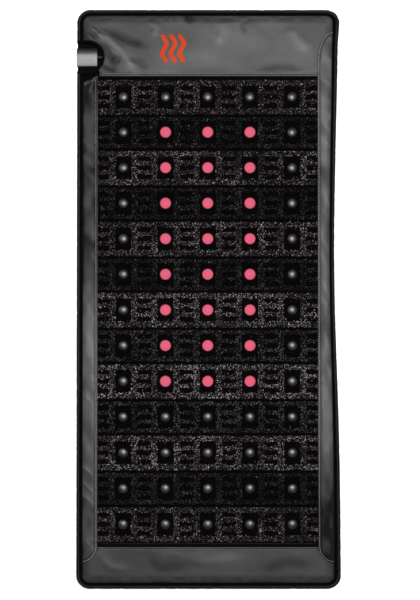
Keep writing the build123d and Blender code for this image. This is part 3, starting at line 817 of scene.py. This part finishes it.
def band_height(side):
    """Top of a side band: a puckered, stitched hem inside and slanting folds that come and go."""

    def height(x, y):
        a = np.abs(x)
        inner = -band_inner(side, x, y)
        outer = BAND_OUTER - a
        z = BAND_Z - 1.0 * MM + 1.2 * MM * smooth(outer / (16 * MM))
        pucker = 0.75 + 0.25 * np.cos(2 * math.pi * y / STITCH_PITCH)
        z = z + 1.3 * MM * bump_at(inner - 3.4 * MM, 2.8 * MM) * pucker
        z = z - 1.0 * MM * bump_at(inner - 7.8 * MM, 1.8 * MM)
        swirl = band_swirl(side, a, y)
        folds = (1 - np.abs(2 * swirl - 1) ** 0.7) * 2.0 * MM
        patchy = smooth((NOISE[6](y / (210 * MM), a * 0 + side * 3.3) - 0.25) / 0.5)
        z = z + folds * (0.35 + 0.65 * patchy) * smooth((inner - 6 * MM) / (14 * MM))
        tucks = (NOISE[7](y / (17 * MM), a / (60 * MM)) - 0.5) * 1.7 * MM
        z = z + sum(along(x, y, path, width, height) for path, width, height in BAND_FOLDS)
        return z + tucks * bump_at(inner - 10 * MM, 9 * MM) * (0.4 + 0.6 * patchy)

    return height


def band_painted_shade_and_highlight(side):
    """Painted light and shade on a side band: long painted light and dark stretches along it, with the right band
    painted dark towards its foot end; painted highlight on its folds and its puckered hem, painted shade behind
    the hem and at its outer crease, with random patches.
    """

    def tone_and_painted_shade(x, y):
        inner = -band_inner(side, x, y)
        a = np.abs(x)
        if side > 0:
            shade = 0.80 - 0.30 * bump_at(y - 372 * MM, 55 * MM) - 0.42 * bump_at(y + 95 * MM, 50 * MM)
            shade = shade - 0.80 * smooth((-400 * MM - y) / (260 * MM))
        else:
            shade = 0.24 + 0.58 * bump_at(y + 250 * MM, 330 * MM) + 0.22 * bump_at(y + 720 * MM, 160 * MM)
            shade = shade + 0.2 * bump_at(y - 520 * MM, 50 * MM) - 0.2 * bump_at(y - 640 * MM, 45 * MM)
        shade = np.maximum(shade, 0)
        swirl = band_swirl(side, a, y)
        shade = shade + 0.34 * ((1 - np.abs(2 * swirl - 1)) - 0.5) * smooth((inner - 5 * MM) / (10 * MM))
        shade = shade + (NOISE[6](y / (33 * MM), a / (16 * MM)) - 0.5) * 0.40
        pucker = 0.7 + 0.3 * np.cos(2 * math.pi * y / STITCH_PITCH)
        shade = shade + 0.38 * pucker * bump_at(inner - 3.4 * MM, 3.0 * MM)
        shade = shade - 0.25 * bump_at(inner - 8 * MM, 2.5 * MM)
        shade = shade + sum(along(x, y, path, width, height) for path, width, height in BAND_FOLDS) / MM * 0.2
        return shade - 0.35 * (1 - smooth((BAND_OUTER - a) / (9 * MM)))

    return tone_and_painted_shade


def make_side_bands():
    for side, word in ((1, "right"), (-1, "left")):
        field = lambda x, y, s=side: np.maximum(band_inner(s, x, y), outline(x, y, PANEL_INSET))
        across = sorted((side * (BAND_INNER - 6 * MM), side * HALF_WIDTH))
        rows = (-HALF_LENGTH + 60 * MM, HALF_LENGTH - 40 * MM)
        # The band's leather gets painted highlight and painted shade from a vertex value.
        obj = pad(f"side_band_{word}", field, (across, rows), 1.9 * MM, band_height(side),
                  level(PANEL_Z - 3.4 * MM), MAT["band"], radius=1.6 * MM, rings=4, tone_and_painted_shade=band_painted_shade_and_highlight(side))
        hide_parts(*halves(f"side_band_{word}"))
        across_fold(obj)


def stitch_line(path, height, pitch, points, faces):
    """Small thread stitches laid along a path."""
    path = np.array(path)
    sizes = np.hypot(*np.diff(path, axis=0).T)
    total = np.concatenate([[0], np.cumsum(sizes)])
    for at in np.arange(pitch / 2, total[-1], pitch):
        k = min(np.searchsorted(total, at, side="right") - 1, len(sizes) - 1)
        t = (at - total[k]) / sizes[k]
        centre = path[k] * (1 - t) + path[k + 1] * t
        direction = (path[k + 1] - path[k]) / sizes[k]
        sideways = np.array([-direction[1], direction[0]])
        z = float(height(centre[:1], centre[1:])[0])
        start = len(points)
        for along_stitch, size in ((-2.6, 0.1), (-1.9, 0.8), (0, 1.0), (1.9, 0.8), (2.6, 0.1)):
            lift = (0.6 - 0.10 * along_stitch**2) * MM
            for angle in np.linspace(0, 2 * math.pi, 6, endpoint=False):
                flat = centre + direction * along_stitch * MM + sideways * 0.78 * MM * size * math.cos(angle)
                points.append((flat[0], flat[1], z + lift + 0.5 * MM * size * math.sin(angle)))
        for ring in range(4):
            for i in range(6):
                a, b = start + ring * 6 + i, start + ring * 6 + (i + 1) % 6
                faces.append([a, b, b + 6, a + 6])
        faces.append([start + i for i in range(5, -1, -1)])
        faces.append([start + 24 + i for i in range(6)])


def make_stitching():
    points, faces = [], []
    inset = 4.6 * MM
    edge = BAND_OUTER + 1 * MM
    depth = edge - BAND_INNER - inset

    def bend(side, end, sign, first, last, count):
        """A hem's quarter turn out to the border, at the band's upper end (sign 1) or lower end (sign -1)."""
        start, reach = end[0] * MM, end[1] * MM - inset
        turns = np.linspace(first, last, count)
        return [(side * (edge - depth * math.cos(t)), start + sign * reach * math.sin(t)) for t in turns]

    for side in (1, -1):
        top, bottom = ENDS[side]
        path = bend(side, bottom, -1, math.pi / 2 - 0.06, 0, 20)
        if top:
            path += bend(side, top, 1, 0, math.pi / 2 - 0.06, 26)
        else:
            path += [(-349.7 * MM, 681 * MM), (-380 * MM, 665 * MM)]
        stitch_line(path, band_height(side), STITCH_PITCH, points, faces)
    for y, low, high in ((HEM_HEAD + 8.5 * MM, -330, 338), (HEM_FOOT - 8.5 * MM, -338, 338)):
        stitch_line([(low * MM, y), (0, y), (high * MM, y)], panel_height, STITCH_PITCH, points, faces)
    obj = make("hem_stitching", settle(np.array(points)), faces, MAT["thread"])
    across_fold(obj)


# ------------ gemstone bands
LINE_AT, LINE_HALF = 14 * MM, 7.6 * MM
RAIL_AT, RAIL_HALF = 44.5 * MM, 10 * MM
COLUMN_AT, COLUMN_HALF = 34.5 * MM, 10.5 * MM


def tube_depth(x, v):
    """How far inside a chip tube a place is; v is the distance from the row's centre line."""
    dx = np.min(np.abs(x[..., None] - COLUMNS), axis=-1)
    rail = RAIL_HALF - np.abs(np.abs(v) - RAIL_AT)
    line = np.minimum(LINE_HALF - np.abs(np.abs(v) - LINE_AT), dx - COLUMN_AT)
    upright = np.minimum(COLUMN_HALF - np.abs(dx - COLUMN_AT), RAIL_AT - np.abs(v))
    return np.maximum(np.maximum(rail, line), upright)


def channel_height(x, v, half):
    tube = smooth(tube_depth(x, v) / (5 * MM) + 0.5)
    edge = smooth((half - np.abs(v)) / (8 * MM))
    return GEM_TOP - 5.0 * MM - 1.4 * MM * (1 - edge) + 2.2 * MM * tube * edge


def channel_block(number, low, high, half):
    """A band's body: a slab with raised tubes, which the chips lie on."""
    xs, ys = np.linspace(low[0], high[0], 141), np.linspace(low[1], high[1], 30)
    gx, gy = np.meshgrid(xs, ys, indexing="ij")
    z = channel_height(gx, gy - ROWS[number], half)
    z = z + (NOISE[number % 8](gx / (9 * MM), gy / (9 * MM)) - 0.5) * 0.8 * MM
    top = np.stack([gx, gy, z], -1).reshape(-1, 3)
    bottom = top.copy()
    bottom[:, 2] = low[2]
    count = len(top)
    quads = grid_quads(*gx.shape).reshape(-1, 4)
    index = np.arange(count).reshape(gx.shape)
    rim = np.concatenate([index[:-1, 0], index[-1, :-1], index[:0:-1, -1], index[0, :0:-1]])
    after = np.roll(rim, -1)
    faces = quads.tolist() + (quads[:, ::-1] + count).tolist()
    faces += np.stack([after, rim, rim + count, after + count], 1).tolist()
    return np.concatenate([top, bottom]), faces


def sow_chips(rng, row, half):
    """Where a band's chips lie: along the tubes, with a few astray and none under a stone or lamp."""
    spacing, jitter = 3.7 * MM, 1.9
    xs = np.arange(-BAND_INNER - 3 * MM, BAND_INNER + 3 * MM, spacing)
    ys = np.arange(row - half + 5 * MM, row + half - 5 * MM, spacing)
    x, y = np.meshgrid(xs, ys, indexing="ij")
    x = x.ravel() + rng.uniform(-jitter, jitter, x.size) * MM
    y = y.ravel() + rng.uniform(-jitter, jitter, y.size) * MM
    stray = rng.random(x.size) < 0.03
    dx = np.min(np.abs(x[:, None] - COLUMNS), axis=1)
    clear = (dx > 24.5 * MM) | (np.abs(y - row) > 27.5 * MM)
    on_tube = tube_depth(x, y - row) > rng.uniform(-0.6, 1.6, x.size) * MM
    keep = (on_tube | stray) & clear
    return x[keep], y[keep]


def cut_chips(rng, x, y, row, half):
    """Squashed, skewed octahedra: six corners for each chip."""
    count = len(x)
    size = rng.uniform(1.25, 2.35, count) * MM
    z = channel_height(x, y - row, half) + size * 0.35 + rng.uniform(0, 0.5, count) * MM
    z = np.minimum(z, GEM_TOP - size * 0.95)
    corners = np.array([(1, 0, 0), (0, 1, 0), (-1, 0, 0), (0, -1, 0), (0, 0, 1), (0, 0, -1)], float)
    shape = corners * rng.uniform(0.65, 1.2, (count, 6, 1)) + rng.uniform(-0.28, 0.28, (count, 6, 3))
    turn = rng.uniform(0, 2 * math.pi, count)
    lean = rng.normal(0, 0.5, (count, 2))
    c, s = np.cos(turn)[:, None], np.sin(turn)[:, None]
    u, v, w = shape[..., 0], shape[..., 1], shape[..., 2] * 0.8
    u, v = u * c - v * s, u * s + v * c
    w = w + lean[:, :1] * u * 0.6 + lean[:, 1:] * v * 0.6
    chip = np.stack([u, v, np.clip(w, -1, 1)], -1) * size[:, None, None]
    return (chip + np.stack([x, y, z], -1)[:, None]).reshape(-1, 3)


CHIP_FACES = np.array([(0, 1, 4), (1, 2, 4), (2, 3, 4), (3, 0, 4),
                       (1, 0, 5), (2, 1, 5), (3, 2, 5), (0, 3, 5)])


def chip_tones(rng, number, x, y):
    """Each chip's tone, in patches, richest near band 9. One chip in twenty shows a bright broken face."""
    count = len(x)
    patch = NOISE[(number + 3) % 8](x / (55 * MM), y / (40 * MM))
    richness = 0.92 + 0.40 * math.exp(-(((number - 8) / 2.5) ** 2))
    tone_and_painted_shade = rng.random(count) ** 1.15 * (0.6 + 0.6 * patch) * richness + rng.normal(0, 0.05, count)
    return np.where(rng.random(count) < 0.05, rng.uniform(0.8, 1.0, count), np.clip(tone_and_painted_shade, 0, 1))


def make_gem_band(number, low, high):
    row = ROWS[number]
    mauve = number % 2 == 0
    rng = np.random.default_rng(100 + number)
    seam = (0, 0.4 * MM, 0)
    low, high = low - seam, high + seam
    half = min(high[1] - row, row - low[1])
    points, faces = channel_block(number, low, high, half)
    base_points, base_faces = len(points), len(faces)
    x, y = sow_chips(rng, row, half)
    points = np.concatenate([points, cut_chips(rng, x, y, row, half)])
    starts = base_points + 6 * np.arange(len(x))
    faces += (CHIP_FACES + starts[:, None, None]).reshape(-1, 3).tolist()

    obj = make(f"stone_band_{number + 1:02d}", points, faces, MAT["channel"])
    obj.data.materials.append(MAT["mauve" if mauve else "black"])
    is_chip = np.arange(len(faces)) >= base_faces
    obj.data.polygons.foreach_set("material_index", is_chip.astype(np.int32))
    obj.data.polygons.foreach_set("use_smooth", ~is_chip)
    tone_and_painted_shade = np.repeat(chip_tones(rng, number, x, y), 6)
    store(obj, "tone_and_painted_shade", np.concatenate([np.zeros(base_points), tone_and_painted_shade]))
    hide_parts(f"gem_band_{number + 1:02d}")
    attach(obj, HEAD if number < HEAD_ROWS else FOOT)


# Section of a pad, from its hole outward: share of the way to its outside, and height in millimetres.
PAD_SECTION = [(0, 19), (0, 26.2), (0.05, 27), (0.3, 27.5), (0.62, 27.3), (0.9, 26.4), (1, 25), (1, 19)]


def make_pads():
    """Black pads, square outside and round inside, that frame each stone and lamp."""
    half_x, half_y = 23 * MM, 25.5 * MM
    segments, squareness = 48, 7
    angles = np.linspace(0, 2 * math.pi, segments, endpoint=False)
    c, s = np.cos(angles), np.sin(angles)
    reach = (np.abs(c / half_x) ** squareness + np.abs(s / half_y) ** squareness) ** (-1 / squareness)
    for body, rows in HALF_ROWS.items():
        points, faces = [], []
        for lamps, hole in ((False, STONE_R + 0.4 * MM), (True, 18.9 * MM)):
            for cx, cy in stations(rows, lamps):
                rings = []
                for share, z in PAD_SECTION:
                    r = hole + (reach - hole) * share
                    rings.append(range(len(points), len(points) + segments))
                    points += [(cx + a, cy + b, z * MM) for a, b in zip(r * c, r * s)]
                for inner, outer in zip(rings, rings[1:] + rings[:1]):
                    for k in range(segments):
                        j = (k + 1) % segments
                        faces.append([inner[k], outer[k], outer[j], inner[j]])
        obj = make(f"station_pads_{SUFFIX[body]}", points, faces, MAT["pad"])
        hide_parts(f"station_patches_{SUFFIX[body]}")
        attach(obj, body)


def make_stones():
    base, top = STONES_LOW[2], STONES_HIGH[2]
    shoulder = top - 5.4 * MM
    radius = STONE_R - 0.1 * MM
    profile = []
    for t in np.linspace(0, 1.45, 14):
        profile.append((radius * math.sin(t), shoulder + (top - shoulder) * math.cos(t) ** 0.9))
    profile += [(radius, shoulder - 1.2 * MM), (radius, base + 1 * MM), (radius - 1 * MM, base), (0, base)]
    for body, rows in HALF_ROWS.items():
        name = SUFFIX[body]
        obj = lathe(f"black_stones_{name}", profile, stations(rows, False), MAT["stone"], twist=0.006)
        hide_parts(f"polished_stones_{name}")
        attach(obj, body)


# Sections of a lens and of its holder's lip: radius and height above the piece's top, in millimetres.
LENS_TOP = [(0, 0), (1.5, -0.02), (2.0, -0.15), (5, -0.2), (9, -0.5), (12.8, -0.9), (13.2, -0.75),
            (14.6, -1.1), (15.3, -1.7), (15.5, -2.4)]
HOLDER_LIP = [(15.65, -0.5), (16.15, 0), (17.4, -0.1), (18.2, -0.6), (18.5, -1.6)]


def make_lamps():
    low, high = box("lamp_lenses_head")
    cup_low, cup_high = box("lamp_holders_head")
    base, floor = low[2], cup_low[2]
    glass = [(r * MM, high[2] + z * MM) for r, z in LENS_TOP]
    glass += [(glass[-1][0], base), (10 * MM, base), (0, base)]
    lip = [(r * MM, cup_high[2] + z * MM) for r, z in HOLDER_LIP]
    cup = [(lip[0][0], base)] + lip + [(lip[-1][0], floor), (1.8 * MM, floor), (1.8 * MM, floor + 1 * MM)]
    cup += [(14.4 * MM, floor + 1 * MM), (14.5 * MM, base)]
    for body, rows in HALF_ROWS.items():
        name = SUFFIX[body]
        centres = stations(rows, True)
        obj = lathe(f"lamp_lens_{name}", glass, centres, MAT["lens"])
        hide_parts(f"lamp_lenses_{name}")
        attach(obj, body)
        obj = lathe(f"lamp_cup_{name}", cup, centres, MAT["holder"], closed=True)
        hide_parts(f"lamp_holders_{name}")
        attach(obj, body)


def net_height(y):
    """The net lies on the bands and dips at each seam between them."""
    inside = np.max([np.minimum(y - low[1], high[1] - y) for low, high in BANDS], axis=0)
    return NET_Z - 1.3 * MM * (1 - smooth(inside / (9 * MM)))


def make_net():
    """An open net of fine thread, in real geometry, drawn tight over the bands."""
    pitch, wide, thick = 4.2 * MM, 0.70 * MM, 0.36 * MM
    low_x, high_x = -BAND_INNER - 6 * MM, BAND_INNER + 6 * MM
    low_y, high_y = HEM_FOOT - 4 * MM, HEM_HEAD + 4 * MM
    points, faces = [], []

    def thread(path, sideways):
        start = len(points)
        for x, y, z in path:
            for w, h in ((-1, 0), (0, 1), (1, 0), (0, -1)):
                out = w * wide / 2
                points.append((x + sideways[0] * out, y + sideways[1] * out, z + h * thick / 2))
        for k in range(len(path) - 1):
            for i in range(4):
                a, b = start + 4 * k + i, start + 4 * k + (i + 1) % 4
                faces.append([a, b, b + 4, a + 4] if sideways[1] else [a, a + 4, b + 4, b])
        end = start + 4 * (len(path) - 1)
        tips = [[start + 3, start + 2, start + 1, start], [end, end + 1, end + 2, end + 3]]
        faces.extend(tips if sideways[1] else [tip[::-1] for tip in tips])

    for y in np.arange(low_y, high_y, pitch):
        z = float(net_height(np.array([y]))[0]) - 0.05 * MM
        thread([(low_x, y, z), (0, y, z), (high_x, y, z)], (0, 1))
    knots = [low_y, high_y, FOLD_Y]
    knots += [FOLD_Y + k * 9 * MM for k in range(-5, 6)]
    for low, high in BANDS:
        knots += [(low[1] + high[1]) / 2, low[1]]
        for inset in (4 * MM, 9 * MM):
            knots += [low[1] + inset, high[1] - inset]
    knots = np.unique(np.round(np.clip(knots, low_y, high_y), 5))
    heights = net_height(knots) + 0.05 * MM
    for x in np.arange(low_x, high_x, pitch):
        thread([(x, y, z) for y, z in zip(knots, heights)], (1, 0))
    obj = make("net_cover", points, faces, MAT["mesh"])
    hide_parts(*halves("mesh_cover"))
    across_fold(obj)


# ------------ CAD pieces that stay
def paint_cad():
    finish = {
        "wiring": "rubber", "boot_rubber": "rubber", "heater_wire": "wire", "socket_tray": "black_plastic",
        "contact_block": "black_plastic", "socket_silver": "silver", "screw_steel": "steel",
        "contact_brass": "brass", "circuit_board": "board_green", "lamp_board": "board_white",
        "fuse": "ceramic", "sensor": "sleeve",
    }
    slots = {part["node"]: part["material_slot"] for part in frame["record"]["subparts"]}
    for name, obj in frame["nodes"].items():
        if slots[name] in finish:
            for k in range(max(1, len(obj.material_slots))):
                if obj.material_slots:
                    obj.material_slots[k].material = MAT[finish[slots[name]]]


# ------------ floor, light and camera
def make_stage():
    floor_material, tree, shader = nodes_of("pale_floor")
    # A little glow keeps the floor's far edge as pale as the backdrop in low views.
    put(tree, shader, Base_Color=mottled(tree, noise(tree, 3, 2), 0.80, 0.82), Roughness=0.9,
        Specular_IOR_Level=0.0, Emission_Color=(1, 1, 1, 1), Emission_Strength=0.34)
    size, depth = 14, -0.4 * MM
    corners = [(-size, -size, depth), (size, -size, depth), (size, size, depth), (-size, size, depth)]
    floor = make("floor", corners, [[0, 1, 2, 3]], floor_material)

    def area_light(name, place, aim, size_x, size_y, power):
        data = bpy.data.lights.new(name, "AREA")
        data.shape = "RECTANGLE"
        data.size, data.size_y = size_x, size_y
        data.energy = power
        obj = bpy.data.objects.new(name, data)
        obj.location = place
        direction = Vector(aim) - Vector(place)
        obj.rotation_euler = direction.to_track_quat("-Z", "Y").to_euler()
        bpy.context.scene.collection.objects.link(obj)

    area_light("overhead_softbox", (0.35, 0.55, 7.6), (0, 0.1, 0), 2.5, 2.5, 780)
    area_light("fill", (-3.2, 1.2, 4.6), (0, 0, 0), 2.0, 2.6, 60)
    world = bpy.data.worlds.new("studio")
    world.use_nodes = True
    tree = world.node_tree
    # Pale at the horizon, behind the floor's far edge, and dim overhead so that the blacks stay black.
    sky = ramp(tree, generated(tree, "Z"), [(0.0, 0.40), (0.16, 0.40), (0.42, 0.045)])
    put(tree, tree.nodes["Background"], Color=sky)
    bpy.context.scene.world = world


def make_camera():
    data = bpy.data.cameras.new("camera")
    data.sensor_width = 36
    distance, mat_top, view_height = 6.0, 30 * MM, 1860 * MM
    data.lens = data.sensor_width * (distance - mat_top) / view_height
    camera = bpy.data.objects.new("camera", data)
    tilt = math.radians(1.6)
    camera.location = (7 * MM, -5 * MM - distance * math.sin(tilt), distance * math.cos(tilt))
    camera.rotation_euler = (tilt, 0, 0)
    bpy.context.scene.collection.objects.link(camera)
    bpy.context.scene.camera = camera
    bpy.context.scene.view_settings.view_transform = "Standard"


make_camera()
make_stage()
make_padding()
make_edge_roll()
make_panels()
make_mark()
make_side_bands()
make_stitching()
for band_number, (band_low, band_high) in enumerate(BANDS):
    make_gem_band(band_number, band_low, band_high)
make_pads()
make_stones()
make_lamps()
make_net()
paint_cad()
